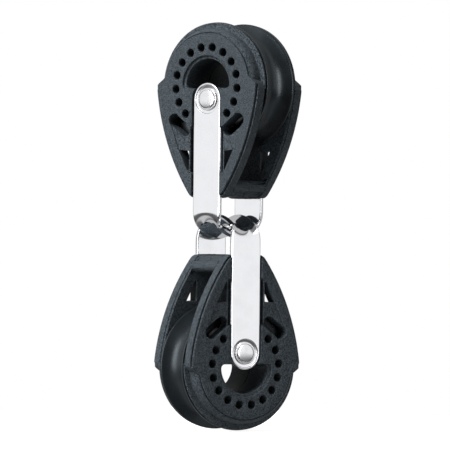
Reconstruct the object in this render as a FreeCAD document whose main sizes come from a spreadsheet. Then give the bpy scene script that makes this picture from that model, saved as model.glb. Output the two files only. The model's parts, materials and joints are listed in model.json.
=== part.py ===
import FreeCAD, Part
import math
import os
import Sketcher
from FreeCAD import Placement, Rotation, Vector

# Double sheave block: two equal ball-bearing sheave blocks, joined head to head by
# two interlocked stainless straps. Millimetres, +Z up, origin in the middle of the link.
# Each block is drawn in its own frame: X across, Y towards the head, Z along the axle.

SIZES = {
    "ring_height": 32.0,          # from the middle of the link to a sheave's axle
    "link_twist": 66.06,          # turn of the lower block about Z, against the upper one
    "rim_radius": 14.4,           # round end of a cheek
    "shoulder_rise": 2.0,         # where the round end meets the straight-looking flank
    "head_end": 25.6,             # flat end of the head, from the axle
    "head_half_width": 3.25,
    "head_corner": 2.4,
    "flank_end_x": 5.2,
    "flank_end_y": 24.6,
    "flank_radius": 50.8,
    "inner_face": 5.5,            # cheek plate, measured from the middle plane
    "outer_face": 8.94,
    "edge_round": 0.45,
    "face_radius": 11.85,         # flat face at the round end, inside its stepped edge
    "face_step": 0.35,
    "slope_start_radius": 12.05,
    "ridge_radius": 13.0,         # foot of the slope, where the outer flange begins
    "ridge_top": 7.05,
    "flange_top": 6.2,
    "slope_sweep": 172.0,
    "parting_gap": 0.02,          # half the gap between the two cheeks at the middle plane
    "hub_radius": 7.04,
    "bore_radius": 6.05,
    "bore_lip_radius": 6.75,
    "bore_lip_depth": 0.6,
    "bore_corner": 1.0,
    "web_edge": 0.66,             # head side of the D-shaped bore
    "bridge_start": 21.6,         # the bridge is a round bar across the throat, with
    "bridge_bar_radius": 1.0,     # a recessed wall from there to the head
    "bridge_bar_x": 5.3,
    "bridge_wall_x": 4.9,
    "bridge_end": 25.3,
    "bridge_end_half_width": 4.2,
    "hole_ring_radius": 8.69,
    "hole_radius": 0.98,
    "ball_count": 17,
    "ring_hole_count": 14,
    "ball_radius": 1.5875,
    "ball_row_height": 2.6,
    "pin_height": 3.16,           # centre rivet, from the axle towards the head
    "pin_radius": 1.6,
    "pin_head_radius": 2.2,
    "pin_head_rise": 0.42,
    "pin_clearance": 0.05,
    "washer_radius": 2.56,
    "washer_thickness": 0.3,
    "strap_half_width": 3.8,
    "strap_thickness": 1.1,
    "strap_outer": 8.56,
    "strap_clearance": 0.1,
    "eye_step_radius": 3.27,
    "eye_step_depth": 0.3,
    "channel_half_width": 4.0,
    "channel_wide_half_width": 4.6,
    "channel_wide_start": 9.9,
    "channel_wide_end": 19.6,
    "channel_splay": 0.6,
    "leg_end": 27.6,              # where the flat legs of the strap meet its bow
    "bow_gap": 0.3,               # play between the two interlocked bows
    "bow_corner_radius": 2.4,
    "bow_corner_turn": 60.0,
    "saddle_radius": 3.5,
    "bow_flare_lead": 0.8,        # the bow starts to curl across this far before its corner
    "bow_flare_length": 2.6,
    "panel_depth": 0.4,
    "panel_ring_radius": 10.5,
    "panel_ring_x": 8.4,
    "panel_corner_x": 10.5,
    "panel_corner_y": 7.6,
    "panel_side_x": 7.75,
    "panel_side_y": 14.6,
    "panel_end": 20.0,
    "window_inner_x": 5.0,
    "window_outer_x": 7.6,
    "window_low": 14.9,
    "window_outer_low": 14.7,
    "window_high": 19.3,
    "window_tip_width": 0.3,
    "slot_radius": 1.47,
    "slot_low_x": 9.1,
    "slot_low_y": 7.9,
    "slot_high_x": 6.16,
    "slot_high_y": 10.05,
    "head_rivet_height": 24.0,
    "head_rivet_radius": 0.8,
    "head_rivet_head_radius": 1.5,
    "head_rivet_head_depth": 0.6,
    "rivet_edge_share": 0.45,     # part of a rivet head's rise that is its upright edge
    "sheave_radius": 14.5,
    "sheave_half_width": 5.2,
    "rim_width": 0.55,
    "groove_bottom": 11.2,
    "race_play": 0.06,
    "rib_radius": 7.7,
    "rib_half_width": 0.85,
    "overrun": 1.0,               # how far a cut or a join runs past the face it goes through
    "overlap": 0.5,
    "flat_strip_radius": 228.0,   # curl of the bow's section where it still counts as flat
}

doc = FreeCAD.newDocument("double_sheave_block")
sheet = doc.addObject("Spreadsheet::Sheet", "Dims")
for row, (alias, number) in enumerate(SIZES.items(), start=1):
    sheet.set(f"A{row}", alias)
    sheet.set(f"B{row}", str(number))
    sheet.setAlias(f"B{row}", alias)
doc.recompute()


class Size:
    """A number together with the sheet expression that gives it."""

    def __init__(self, number, text):
        self.number = number
        self.text = text

    def __add__(self, other):
        other = as_size(other)
        return Size(self.number + other.number, f"({self.text} + {other.text})")

    def __sub__(self, other):
        other = as_size(other)
        return Size(self.number - other.number, f"({self.text} - {other.text})")

    def __mul__(self, other):
        other = as_size(other)
        return Size(self.number * other.number, f"({self.text} * {other.text})")

    def __truediv__(self, other):
        other = as_size(other)
        return Size(self.number / other.number, f"({self.text} / {other.text})")

    def __neg__(self):
        return Size(-self.number, f"(0 - {self.text})")

    def root(self):
        return Size(math.sqrt(self.number), f"sqrt({self.text})")


def as_size(value):
    return value if isinstance(value, Size) else Size(float(value), repr(float(value)))


def dim(alias):
    return Size(float(sheet.get(alias)), f"Dims.{alias}")


def bind(thing, prop, value):
    """Give a property its number and bind it to the sheet."""
    thing.setExpression(prop, as_size(value).text)


def plane_of(body, role):
    return next(f for f in body.Origin.OriginFeatures if f.Role == role)


def new_body(name):
    body = doc.addObject("PartDesign::Body", name)
    body.Label = name
    return body


def new_sketch(body, name, role="XY_Plane", height=None):
    sketch = body.newObject("Sketcher::SketchObject", f"{body.Name}_{name}")
    sketch.AttachmentSupport = [(plane_of(body, role), "")]
    sketch.MapMode = "FlatFace"
    if height is not None:
        bind(sketch, "AttachmentOffset.Base.z", height)
    return sketch


def fix_point(sketch, edge, end, point):
    """Hold one end of a sketch edge at a point whose two sizes are in the sheet."""
    for kind, value in (("DistanceX", point[0]), ("DistanceY", point[1])):
        value = as_size(value)
        index = sketch.addConstraint(
            Sketcher.Constraint(kind, -1, 1, edge, end, value.number))
        sketch.setExpression(f"Constraints[{index}]", value.text)


def bend_centre(start, end, radius, turn, major):
    """Centre of an arc from start to end; turn is 1 anticlockwise, -1 clockwise."""
    chord = end - start
    offset = math.sqrt(max(radius ** 2 - (chord.Length / 2) ** 2, 0.0))
    left = Vector(-chord.y, chord.x, 0).normalize()
    side = turn * (-1 if major else 1)
    return (start + end) * 0.5 + left * (offset * side)


def draw_profile(sketch, corners):
    """Draw a closed outline: each corner is (x, y, bend), bend leading to the next one.

    bend is None for a straight edge, or (radius, turn) or (radius, turn, "major").
    """
    count = len(corners)
    points = [Vector(as_size(x).number, as_size(y).number, 0) for x, y, _ in corners]
    ends = []
    for i, (x, y, bend) in enumerate(corners):
        start = points[i]
        end = points[(i + 1) % count]
        if bend is None:
            edge = sketch.addGeometry(Part.LineSegment(start, end))
            ends.append((edge, 1, 2))
        else:
            radius = as_size(bend[0])
            turn = bend[1]
            centre = bend_centre(start, end, radius.number, turn, len(bend) > 2)
            first, last = (start, end) if turn > 0 else (end, start)
            angles = [math.atan2(p.y - centre.y, p.x - centre.x) for p in (first, last)]
            circle = Part.Circle(centre, Vector(0, 0, 1), radius.number)
            edge = sketch.addGeometry(Part.ArcOfCircle(circle, angles[0], angles[1]))
            ends.append((edge, 1, 2) if turn > 0 else (edge, 2, 1))
            index = sketch.addConstraint(Sketcher.Constraint("Radius", edge, radius.number))
            sketch.setExpression(f"Constraints[{index}]", radius.text)
    for i in range(count):
        edge, _, last = ends[i]
        following, first, _ = ends[(i + 1) % count]
        sketch.addConstraint(Sketcher.Constraint("Coincident", edge, last, following, first))
    for i, (x, y, _) in enumerate(corners):
        fix_point(sketch, ends[i][0], ends[i][1], (x, y))


def draw_circle(sketch, x, y, radius):
    radius = as_size(radius)
    centre = Vector(as_size(x).number, as_size(y).number, 0)
    edge = sketch.addGeometry(Part.Circle(centre, Vector(0, 0, 1), radius.number))
    index = sketch.addConstraint(Sketcher.Constraint("Radius", edge, radius.number))
    sketch.setExpression(f"Constraints[{index}]", radius.text)
    fix_point(sketch, edge, 3, (x, y))


def extrude(body, kind, name, sketch, length):
    """Pad up from a sketch, or pocket down from it."""
    feature = body.newObject(f"PartDesign::{kind}", f"{body.Name}_{name}")
    feature.Profile = sketch
    bind(feature, "Length", length)
    doc.recompute()
    return feature


def pad(body, name, low, high, draw):
    sketch = new_sketch(body, f"{name}_sketch", height=low)
    draw(sketch)
    return extrude(body, "Pad", name, sketch, high - low)


def pocket(body, name, top, depth, draw):
    sketch = new_sketch(body, f"{name}_sketch", height=top)
    draw(sketch)
    return extrude(body, "Pocket", name, sketch, depth)


def mirrored(corners):
    """The same outline on the other side of the Y axis, still anticlockwise."""
    flipped = []
    count = len(corners)
    for i in range(count):
        x, y, _ = corners[(count - i) % count]
        bend = corners[(count - i - 1) % count][2]
        flipped.append((-as_size(x), y, bend))
    return flipped


# ---- cheek: one moulded half of a block ----

def cheek_outline():
    rim = dim("rim_radius")
    rise = dim("shoulder_rise")
    shoulder = (rim * rim - rise * rise).root()
    flank = (dim("flank_radius"), 1)
    corner = (dim("head_corner"), 1)
    fx, fy = dim("flank_end_x"), dim("flank_end_y")
    hx, hy = dim("head_half_width"), dim("head_end")
    return [
        (-shoulder, rise, (rim, 1, "major")),
        (shoulder, rise, flank),
        (fx, fy, corner),
        (hx, hy, None),
        (-hx, hy, corner),
        (-fx, fy, flank),
    ]


def bore_outline(radius):
    """A round bore with its head side closed off straight, and small corner rounds."""
    corner = dim("bore_corner")
    web = dim("web_edge")
    drop = web - corner
    inner = radius - corner
    x = (inner * inner - drop * drop).root()
    rim_x = x * radius / inner
    rim_y = drop * radius / inner
    return [
        (-rim_x, rim_y, (radius, 1)),
        (rim_x, rim_y, (corner, 1)),
        (x, web, None),
        (-x, web, (corner, 1)),
    ]


def channel_outline():
    """Bed of a strap leg: round about the centre rivet, wider along the middle."""
    narrow = dim("channel_half_width")
    wide = dim("channel_wide_half_width")
    splay = dim("channel_splay")
    pin = dim("pin_height")
    low, high = dim("channel_wide_start"), dim("channel_wide_end")
    mouth = dim("head_end") + dim("overrun")
    right = [
        (narrow, pin, None),
        (narrow, low - splay, None),
        (wide, low, None),
        (wide, high, None),
        (narrow, high + splay, None),
        (narrow, mouth, None),
    ]
    left = [(-x, y, None) for x, y, _ in reversed(right)]
    left[-1] = (-narrow, pin, (narrow, 1))
    return right + left + [(0, pin - narrow, (narrow, 1))]


def bridge_outline():
    """The bar that joins the cheeks across the throat, and the wall from it to the head."""
    start, radius = dim("bridge_start"), dim("bridge_bar_radius")
    x, end = dim("bridge_bar_x"), dim("bridge_end")
    right = [
        (x, start, (radius, 1)),
        (x + radius, start + radius, (radius, 1)),
        (x, start + radius * 2, None),
        (dim("bridge_wall_x"), start + radius * 2, None),
        (dim("bridge_end_half_width"), end, None),
    ]
    return right + [
        (-dim("bridge_end_half_width"), end, None),
        (-dim("bridge_wall_x"), start + radius * 2, None),
        (-x, start + radius * 2, (radius, 1)),
        (-x - radius, start + radius, (radius, 1)),
        (-x, start, None),
    ]


def panel_outline():
    ring = dim("panel_ring_radius")
    inner = dim("channel_half_width")
    ring_x, top = dim("panel_ring_x"), dim("panel_end")
    ring_y = (ring * ring - ring_x * ring_x).root()
    inner_y = (ring * ring - inner * inner).root()
    return [
        (inner, inner_y, (ring, -1)),
        (ring_x, ring_y, None),
        (dim("panel_corner_x"), dim("panel_corner_y"), None),
        (dim("panel_side_x"), dim("panel_side_y"), None),
        (dim("channel_wide_half_width"), top, None),
        (inner, top, None),
    ]


def window_outline():
    inner, high = dim("window_inner_x"), dim("window_high")
    return [
        (inner, dim("window_low"), None),
        (dim("window_outer_x"), dim("window_outer_low"), None),
        (inner + dim("window_tip_width"), high, None),
        (inner, high, None),
    ]


def slot_outline():
    """A slot with round ends; its sides run from the low end to the high one."""
    radius = dim("slot_radius")
    ax, ay = dim("slot_low_x"), dim("slot_low_y")
    bx, by = dim("slot_high_x"), dim("slot_high_y")
    run_x, run_y = bx - ax, by - ay
    length = (run_x * run_x + run_y * run_y).root()
    ux, uy = run_x * radius / length, run_y * radius / length
    return [
        (ax + uy, ay - ux, None),
        (bx + uy, by - ux, (radius, 1)),
        (bx + ux, by + uy, (radius, 1)),
        (bx - uy, by + ux, None),
        (ax - uy, ay + ux, (radius, 1)),
        (ax - ux, ay - uy, (radius, 1)),
    ]


def round_plate_edges(body, plate):
    """Round the edges that run along the plate's two faces."""
    faces = (dim("inner_face").number, dim("outer_face").number)
    names = []
    for i, edge in enumerate(plate.Shape.Edges, start=1):
        heights = [v.Point.z for v in edge.Vertexes]
        if any(all(abs(z - face) < 1e-6 for z in heights) for face in faces):
            names.append(f"Edge{i}")
    feature = body.newObject("PartDesign::Fillet", f"{body.Name}_edge_round")
    feature.Base = (plate, names)
    bind(feature, "Radius", dim("edge_round"))
    doc.recompute()


def slope_round_end(body):
    """Step the round end's edge: a slope down from the flat face, then a thin flange."""
    sketch = new_sketch(body, "slope_sketch", role="YZ_Plane")
    face, ridge = -dim("face_radius"), -dim("ridge_radius")
    beyond = -(dim("rim_radius") + dim("overrun"))
    top = dim("outer_face")
    step = top - dim("face_step")
    draw_profile(sketch, [
        (face, top + dim("overrun"), None),
        (beyond, top + dim("overrun"), None),
        (beyond, dim("flange_top"), None),
        (ridge, dim("flange_top"), None),
        (ridge, dim("ridge_top"), None),
        (-dim("slope_start_radius"), step, None),
        (face, step, None),
    ])
    groove = body.newObject("PartDesign::Groove", f"{body.Name}_slope")
    groove.Profile = sketch
    groove.ReferenceAxis = (plane_of(body, "Z_Axis"), "")
    groove.Midplane = True
    bind(groove, "Angle", dim("slope_sweep"))
    doc.recompute()


def drill_hole_ring(body):
    """Through holes over the ball row, all at the balls' own pitch."""
    pitch = 360.0 / dim("ball_count").number
    sweep = pitch * (dim("ring_hole_count").number - 1)
    first = math.radians(270.0 - sweep / 2)
    radius = dim("hole_ring_radius")
    above = dim("outer_face") + dim("overrun")
    hole = pocket(
        body, "ring_hole", above, above - dim("inner_face") + dim("overlap"),
        lambda sketch: draw_circle(
            sketch, radius * math.cos(first), radius * math.sin(first), dim("hole_radius")))
    ring = body.newObject("PartDesign::PolarPattern", f"{body.Name}_hole_ring")
    ring.Originals = [hole]
    ring.Axis = (plane_of(body, "Z_Axis"), "")
    bind(ring, "Occurrences", dim("ring_hole_count"))
    bind(ring, "Angle", (dim("ring_hole_count") - 1) * 360 / dim("ball_count"))
    body.Tip = ring
    doc.recompute()


def make_cheek(name):
    body = new_body(name)
    middle = dim("parting_gap")
    inner, outer = dim("inner_face"), dim("outer_face")
    floor = dim("strap_outer") - dim("strap_thickness") - dim("strap_clearance")
    pin = dim("pin_height")
    plate = pad(body, "plate", inner, outer, lambda s: draw_profile(s, cheek_outline()))
    round_plate_edges(body, plate)
    slope_round_end(body)
    joined = inner + dim("overlap")
    pad(body, "hub", middle, joined, lambda s: draw_circle(s, 0, 0, dim("hub_radius")))
    pad(body, "bridge", middle, joined, lambda s: draw_profile(s, bridge_outline()))
    above = outer + dim("overrun")
    pocket(body, "bore", above, above,
           lambda s: draw_profile(s, bore_outline(dim("bore_radius"))))
    pocket(body, "bore_lip", outer, dim("bore_lip_depth"),
           lambda s: draw_profile(s, bore_outline(dim("bore_lip_radius"))))
    pocket(body, "channel", above, above - floor, lambda s: draw_profile(s, channel_outline()))
    for side, shape in (("right", lambda outline: outline), ("left", mirrored)):
        pocket(body, f"{side}_panel", above, dim("panel_depth") + dim("overrun"),
               lambda s: draw_profile(s, shape(panel_outline())))
        pocket(body, f"{side}_window", above, above - inner + dim("overlap"),
               lambda s: draw_profile(s, shape(window_outline())))
        pocket(body, f"{side}_slot", above, above - inner + dim("overlap"),
               lambda s: draw_profile(s, shape(slot_outline())))
    pocket(body, "pin_hole", above, above,
           lambda s: draw_circle(s, 0, pin, dim("pin_radius") + dim("pin_clearance")))
    rivet = dim("head_rivet_height")
    pocket(body, "rivet_hole", above, above,
           lambda s: draw_circle(s, 0, rivet, dim("head_rivet_radius") + dim("pin_clearance")))
    pocket(body, "rivet_seat", floor, dim("head_rivet_head_depth"),
           lambda s: draw_circle(s, 0, rivet, dim("head_rivet_head_radius") + dim("pin_clearance")))
    drill_hole_ring(body)
    return body


# ---- sheave ----

def make_sheave(name):
    body = new_body(name)
    sketch = new_sketch(body, "section", role="XZ_Plane")
    radius, half = dim("sheave_radius"), dim("sheave_half_width")
    mouth = half - dim("rim_width")
    depth = radius - dim("groove_bottom")
    groove = (mouth * mouth + depth * depth) / (depth * 2)
    race = dim("hole_ring_radius") + dim("ball_radius") + dim("race_play")
    rib, rib_half = dim("rib_radius"), dim("rib_half_width")
    draw_profile(sketch, [
        (race, -half, None),
        (radius, -half, None),
        (radius, -mouth, (groove, -1)),
        (radius, mouth, None),
        (radius, half, None),
        (race, half, None),
        (race, rib_half, None),
        (rib, rib_half, None),
        (rib, -rib_half, None),
        (race, -rib_half, None),
    ])
    turned = body.newObject("PartDesign::Revolution", f"{name}_turned")
    turned.Profile = sketch
    turned.ReferenceAxis = (plane_of(body, "Z_Axis"), "")
    turned.Angle = 360.0
    doc.recompute()
    return body


# ---- rivets ----

def make_rivet(name, radius, head_radius, seat, rise):
    """A round rivet with a low domed head at each end; seat is where a head begins."""
    body = new_body(name)
    sketch = new_sketch(body, "section", role="XZ_Plane")
    edge = rise * dim("rivet_edge_share")
    dome_rise = rise - edge
    dome = (head_radius * head_radius + dome_rise * dome_rise) / (dome_rise * 2)
    draw_profile(sketch, [
        (0, -(seat + rise), (dome, 1)),
        (head_radius, -(seat + edge), None),
        (head_radius, -seat, None),
        (radius, -seat, None),
        (radius, seat, None),
        (head_radius, seat, None),
        (head_radius, seat + edge, (dome, 1)),
        (0, seat + rise, None),
    ])
    turned = body.newObject("PartDesign::Revolution", f"{name}_turned")
    turned.Profile = sketch
    turned.ReferenceAxis = (plane_of(body, "Z_Axis"), "")
    turned.Angle = 360.0
    doc.recompute()
    return body


def primitive(kind, name, sizes, x=0, y=0, z=0):
    thing = doc.addObject(f"Part::{kind}", name)
    for prop, value in sizes.items():
        bind(thing, prop, value)
    for letter, value in (("x", x), ("y", y), ("z", z)):
        bind(thing, f"Placement.Base.{letter}", value)
    return thing


def compound(name, members):
    group = doc.addObject("Part::Compound", name)
    group.Label = name
    group.Links = members
    return group


def cut(name, base, tool):
    result = doc.addObject("Part::Cut", name)
    result.Base = base
    result.Tool = tool
    return result


def make_washers(name):
    """One flat washer under each head of the centre rivet."""
    thick = dim("washer_thickness")
    rings = []
    for side, low in (("front", dim("strap_outer") - thick), ("back", -dim("strap_outer"))):
        disc = primitive("Cylinder", f"{name}_{side}_disc",
                         {"Radius": dim("washer_radius"), "Height": thick}, z=low)
        hole = primitive("Cylinder", f"{name}_{side}_hole",
                         {"Radius": dim("pin_radius") + dim("pin_clearance"),
                          "Height": thick + dim("overrun") * 2},
                         z=low - dim("overrun"))
        rings.append(cut(f"{name}_{side}", disc, hole))
    return compound(name, rings)


# ---- ball row ----

def make_ball_row(name, height):
    count = int(dim("ball_count").number)
    ring = dim("hole_ring_radius")
    balls = []
    for i in range(count):
        angle = math.radians(270.0 + 360.0 * i / count)
        balls.append(primitive("Sphere", f"{name}_ball_{i + 1}", {"Radius": dim("ball_radius")},
                               x=ring * math.cos(angle), y=ring * math.sin(angle), z=height))
    return compound(name, balls)


# ---- strap: two flat legs outside the cheeks and one curled bow ----

def bow_stations():
    """Middle line of the bow from one leg to the middle: place, outward direction, curl."""
    value = {name: dim(name).number for name in SIZES}
    turn = math.radians(value["bow_corner_turn"])
    corner = value["bow_corner_radius"]
    leg = value["strap_outer"] - value["strap_thickness"] / 2
    bottom = -(value["bow_gap"] + value["strap_thickness"]) / 2
    corner_end = leg - corner * (1 - math.cos(turn))
    slope = math.pi / 2 - turn
    belly = corner_end / math.sin(slope)
    corner_low = bottom + belly * (1 - math.cos(slope))
    corner_high = corner_low + corner * math.sin(turn)
    leg_foot = value["ring_height"] - value["leg_end"]
    places = [(leg, leg_foot, 0.0), (leg, (leg_foot * 3 + corner_high) / 4, 0.0)]
    corner_steps, belly_steps = 6, 5
    for i in range(corner_steps):
        angle = turn * i / corner_steps
        places.append((leg - corner * (1 - math.cos(angle)),
                       corner_high - corner * math.sin(angle), angle))
    for i in range(belly_steps + 1):
        lean = slope * (1 - i / belly_steps)
        places.append((belly * math.sin(lean), bottom + belly * (1 - math.cos(lean)),
                       math.pi / 2 - lean))
    stations = []
    for height, level, angle in places:
        done = (corner_high + value["bow_flare_lead"] - level) / value["bow_flare_length"]
        done = min(max(done, 0.0), 1.0)
        curl = done * done * (3 - 2 * done)
        stations.append((height, value["ring_height"] - level, angle, curl))
    return stations


def bow_section(height, along, angle, curl):
    """Cross-section of the bow: a thin band, curled so that its edges turn outwards."""
    half = dim("strap_half_width").number
    thick = dim("strap_thickness").number
    flat_radius = dim("flat_strip_radius").number
    radius = 1.0 / (curl / dim("saddle_radius").number + (1 - curl) / flat_radius)
    sweep = half / radius
    outward = Vector(0, math.sin(angle), math.cos(angle))
    middle = Vector(0, along, height)

    def point(offset, part):
        reach = radius + offset
        return (middle + outward * (radius - reach * math.cos(sweep * part))
                + Vector(reach * math.sin(sweep * part), 0, 0))

    inside = [point(thick / 2, part) for part in (-1, 0, 1)]
    outside = [point(-thick / 2, part) for part in (1, 0, -1)]
    return Part.Wire([
        Part.Arc(*inside).toShape(),
        Part.makeLine(inside[-1], outside[0]),
        Part.Arc(*outside).toShape(),
        Part.makeLine(outside[-1], inside[0]),
    ])


def make_bow(name):
    stations = bow_stations()
    sections = [bow_section(*station) for station in stations]
    for height, along, angle, curl in reversed(stations[:-1]):
        sections.append(bow_section(-height, along, math.pi - angle, curl))
    bow = doc.addObject("Part::Feature", name)
    bow.Shape = Part.makeLoft(sections, True, False)
    return bow


def make_leg(name, low):
    """One flat leg with its round eye, hole and the shallow seat pressed round the hole."""
    half, thick = dim("strap_half_width"), dim("strap_thickness")
    pin, end, over = dim("pin_height"), dim("leg_end"), dim("overrun")
    bar = primitive("Box", f"{name}_bar", {"Length": half * 2, "Width": end - pin, "Height": thick},
                    x=-half, y=pin, z=low)
    eye = primitive("Cylinder", f"{name}_eye", {"Radius": half, "Height": thick}, y=pin, z=low)
    blank = doc.addObject("Part::Fuse", f"{name}_blank")
    blank.Base = bar
    blank.Tool = eye
    blank.Refine = True
    hole = primitive("Cylinder", f"{name}_hole",
                     {"Radius": dim("pin_radius") + dim("pin_clearance"),
                      "Height": thick + over * 2},
                     y=pin, z=low - over)
    step = dim("eye_step_depth")
    seat_low = low + thick - step if low.number > 0 else low - over
    seat = primitive("Cylinder", f"{name}_seat",
                     {"Radius": dim("eye_step_radius"), "Height": step + over}, y=pin, z=seat_low)
    return cut(name, cut(f"{name}_drilled", blank, hole), seat)


def make_strap(name):
    outer, thick = dim("strap_outer"), dim("strap_thickness")
    strap = doc.addObject("Part::MultiFuse", name)
    strap.Label = name
    strap.Shapes = [make_leg(f"{name}_front_leg", outer - thick),
                    make_leg(f"{name}_back_leg", -outer), make_bow(f"{name}_bow")]
    return strap


# ---- the two blocks ----

HALF_TURN = Placement(Vector(0, 0, 0), Rotation(Vector(0, 1, 0), 180))


def block_frame(head_down, turn):
    """Place of a block: X across, Y to the head, Z out of its front face."""
    turn = math.radians(turn)
    front = Vector(math.sin(turn), -math.cos(turn), 0)
    to_head = Vector(0, 0, -1 if head_down else 1)
    across = to_head.cross(front)
    axle = to_head * -dim("ring_height").number
    return Placement(axle, Rotation(across, to_head, front, "ZYX"))


def make_block(side, frame):
    """All the pieces of one block, as {node name: object}."""
    row = dim("ball_row_height")
    pieces = {
        "front_cheek": (make_cheek(f"{side}_front_cheek"), Placement()),
        "back_cheek": (make_cheek(f"{side}_back_cheek"), HALF_TURN),
        "sheave": (make_sheave(f"{side}_sheave"), Placement()),
        "front_balls": (make_ball_row(f"{side}_front_balls", row), Placement()),
        "back_balls": (make_ball_row(f"{side}_back_balls", -row), Placement()),
        "strap": (make_strap(f"{side}_strap"), Placement()),
        "rivet_washers": (make_washers(f"{side}_rivet_washers"),
                          Placement(Vector(0, dim("pin_height").number, 0), Rotation())),
        "centre_rivet": (
            make_rivet(f"{side}_centre_rivet", dim("pin_radius"), dim("pin_head_radius"),
                       dim("strap_outer"), dim("pin_head_rise")),
            Placement(Vector(0, dim("pin_height").number, 0), Rotation())),
        "head_rivet": (
            make_rivet(f"{side}_head_rivet", dim("head_rivet_radius"),
                       dim("head_rivet_head_radius"),
                       dim("strap_outer") - dim("strap_thickness") - dim("strap_clearance")
                       - dim("head_rivet_head_depth"), as_size(0.5)),
            Placement(Vector(0, dim("head_rivet_height").number, 0), Rotation())),
    }
    for thing, place in pieces.values():
        thing.Placement = frame.multiply(place)
    return {f"{side}_{name}": thing for name, (thing, _) in pieces.items()}


nodes = make_block("upper", block_frame(True, 0.0))
nodes.update(make_block("lower", block_frame(False, dim("link_twist").number)))
doc.recompute()

for thing in doc.Objects:
    if "Invalid" in thing.State or "Error" in thing.State:
        raise RuntimeError(f"{thing.Name} failed: {thing.State}")
for name, thing in nodes.items():
    if thing.Shape.isNull() or not thing.Shape.isValid():
        raise RuntimeError(f"{name} has no valid shape")

os.makedirs("parts", exist_ok=True)
for name, thing in nodes.items():
    thing.Shape.exportStep(f"parts/{name}.step")
    box = thing.Shape.BoundBox
    print(f"{name}: {len(thing.Shape.Solids)} solids, {thing.Shape.Volume:.1f} mm3, "
          f"z {box.ZMin:.2f} to {box.ZMax:.2f}")
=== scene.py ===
"""Looks of a double sheave block: two ball-bearing sheave blocks linked head to head.

Sizes of pieces are in millimetres in a block's own frame, X across the block, Y from the
axle towards the head and Z along the axle, out of the front cheek. BlockFrame turns them
into metres in the row frame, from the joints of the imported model. The camera, the lights,
the floor and the finishes are in metres.
"""
from __future__ import annotations

import json
import logging
import math
from collections.abc import Callable, Sequence
from dataclasses import dataclass, field
from enum import Enum

import bmesh
import bpy
import numpy as np
from mathutils import Matrix, Vector
from mathutils.geometry import delaunay_2d_cdt

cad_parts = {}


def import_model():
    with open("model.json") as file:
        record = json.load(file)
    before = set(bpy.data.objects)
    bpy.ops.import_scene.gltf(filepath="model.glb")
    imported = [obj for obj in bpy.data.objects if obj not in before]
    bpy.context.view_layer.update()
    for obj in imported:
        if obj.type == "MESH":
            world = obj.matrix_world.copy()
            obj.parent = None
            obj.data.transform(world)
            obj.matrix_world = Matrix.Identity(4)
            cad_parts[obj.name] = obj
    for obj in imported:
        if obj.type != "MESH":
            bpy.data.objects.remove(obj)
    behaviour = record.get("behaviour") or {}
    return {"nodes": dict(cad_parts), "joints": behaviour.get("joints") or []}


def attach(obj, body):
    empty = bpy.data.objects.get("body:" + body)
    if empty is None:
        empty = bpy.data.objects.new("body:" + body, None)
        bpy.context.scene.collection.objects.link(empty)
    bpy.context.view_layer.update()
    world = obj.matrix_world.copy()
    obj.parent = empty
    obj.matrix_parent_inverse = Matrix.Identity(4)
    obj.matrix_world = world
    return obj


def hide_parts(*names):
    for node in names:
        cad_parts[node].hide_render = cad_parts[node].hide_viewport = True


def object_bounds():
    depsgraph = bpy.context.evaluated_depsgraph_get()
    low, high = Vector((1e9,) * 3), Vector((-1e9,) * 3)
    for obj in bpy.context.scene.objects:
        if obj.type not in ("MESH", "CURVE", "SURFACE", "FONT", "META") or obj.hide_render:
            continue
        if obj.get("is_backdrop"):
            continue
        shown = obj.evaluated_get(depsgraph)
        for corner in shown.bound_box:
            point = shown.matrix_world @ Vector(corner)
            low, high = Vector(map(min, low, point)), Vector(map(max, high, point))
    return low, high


LOG = logging.getLogger("double_sheave_block")
MM = 0.001
Point = tuple[float, float]
Outline = list[Point]
Level = Callable[[float, float], float]


class Side(Enum):
    """Which of the two blocks."""

    UPPER = "upper"
    LOWER = "lower"


class Face(Enum):
    """Which side of a block's middle plane."""

    FRONT = "front"
    BACK = "back"


# ---------------------------------------------------------------- frames


@dataclass(frozen=True)
class BlockFrame:
    """Place of one block in the row frame.

    Args:
        side: The block.
        axle: Middle of the axle, in metres.
        front: Unit vector along the axle, out of the front cheek.
    """

    side: Side
    axle: Vector
    front: Vector

    @classmethod
    def from_joints(cls, side: Side, joints: Sequence[dict]) -> BlockFrame:
        """Read a block's axle from its sheave's joint.

        Args:
            side: The block.
            joints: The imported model's joints.

        Returns:
            The block's frame.
        """
        joint = next(j for j in joints if j["name"] == f"{side.value}_sheave_spin")
        return cls(side, Vector(joint["pos_m"]), Vector(joint["axis"]).normalized())

    @property
    def matrix(self) -> Matrix:
        """Transform from the block's millimetres to the row frame's metres."""
        head = Vector((0.0, 0.0, -math.copysign(1.0, self.axle.z)))
        across = head.cross(self.front)
        turn = Matrix((across, head, self.front)).transposed().to_4x4()
        return Matrix.Translation(self.axle) @ turn @ Matrix.Scale(MM, 4)

    def facing(self, face: Face) -> Matrix:
        """Transform for a piece drawn on the front side, turned round for the back one."""
        if face is Face.FRONT:
            return self.matrix
        return self.matrix @ Matrix.Rotation(math.pi, 4, "Y")

    def node(self, piece: str) -> str:
        """Name of one of this block's nodes."""
        return f"{self.side.value}_{piece}"


# ---------------------------------------------------------------- node helpers


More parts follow.
